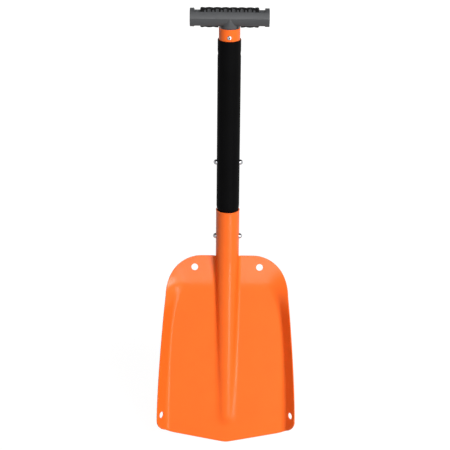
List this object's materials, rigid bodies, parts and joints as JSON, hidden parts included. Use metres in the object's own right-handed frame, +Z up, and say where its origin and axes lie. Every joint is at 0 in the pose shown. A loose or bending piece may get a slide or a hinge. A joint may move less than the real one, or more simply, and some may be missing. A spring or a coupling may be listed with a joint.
{
  "type": "camp shovel",
  "caption": "Take-down camp shovel: stamped scoop blade with a rolled socket, telescoping tube shaft locked by spring snap buttons, and a riveted T-handle with a ribbed soft grip.",
  "frame": {"origin": "middle of the bounding box at its lowest level, which is the tip of the digging edge", "axes": "+Z up along the shaft, -Y the way the hollow front of the blade faces, X along the T-handle"},
  "size_m": [0.2072, 0.0848, 0.6564],
  "materials": {
    "orange_coat": "satin orange powder coat on aluminium",
    "black_coat": "matt black powder coat on aluminium tube",
    "grey_plastic": "fine-textured moulded grey plastic",
    "grip_rubber": "matt black soft-touch rubber",
    "spring_steel": "bare rolled spring steel",
    "button_chrome": "bright plated steel",
    "rivet_aluminium": "bare aluminium"
  },
  "bodies": {
    "blade": {"blade": "orange_coat"},
    "middle": {"middle_tube": "black_coat", "lower_clip_spring": "spring_steel"},
    "lower_left_button": {"lower_button_left": "button_chrome"},
    "lower_right_button": {"lower_button_right": "button_chrome"},
    "handle": {"handle_tube": "orange_coat", "upper_clip_spring": "spring_steel", "tee_core": "grey_plastic", "tee_grip": "grip_rubber", "rivet_front": "rivet_aluminium", "rivet_rear": "rivet_aluminium", "rivet_stem_front": "spring_steel", "rivet_stem_rear": "spring_steel"},
    "upper_left_button": {"upper_button_left": "button_chrome"},
    "upper_right_button": {"upper_button_right": "button_chrome"}
  },
  "joints": [
    {"name": "shaft_pull", "type": "slide", "parent": "blade", "child": "middle", "axis": [0, 0, 1], "range_m": [0, 0.055], "deforming": ["lower_clip_spring", "lower_button_left", "lower_button_right"]},
    {"name": "handle_slide", "type": "slide", "parent": "middle", "child": "handle", "axis": [0, 0, 1], "range_m": [0, 0.1618], "deforming": ["upper_clip_spring", "upper_button_left", "upper_button_right"]},
    {"name": "lower_left_press", "type": "slide", "parent": "middle", "child": "lower_left_button", "axis": [1, 0, 0], "range_m": [0, 0.0062], "stiffness_N_per_m": 1500, "springref_m": -0.003, "deforming": ["lower_clip_spring"]},
    {"name": "lower_right_press", "type": "slide", "parent": "middle", "child": "lower_right_button", "axis": [-1, 0, 0], "range_m": [0, 0.0062], "stiffness_N_per_m": 1500, "springref_m": -0.003, "deforming": ["lower_clip_spring"]},
    {"name": "upper_left_press", "type": "slide", "parent": "handle", "child": "upper_left_button", "axis": [1, 0, 0], "range_m": [0, 0.0062], "stiffness_N_per_m": 1500, "springref_m": -0.003, "deforming": ["upper_clip_spring"]},
    {"name": "upper_right_press", "type": "slide", "parent": "handle", "child": "upper_right_button", "axis": [-1, 0, 0], "range_m": [0, 0.0062], "stiffness_N_per_m": 1500, "springref_m": -0.003, "deforming": ["upper_clip_spring"]}
  ]
}
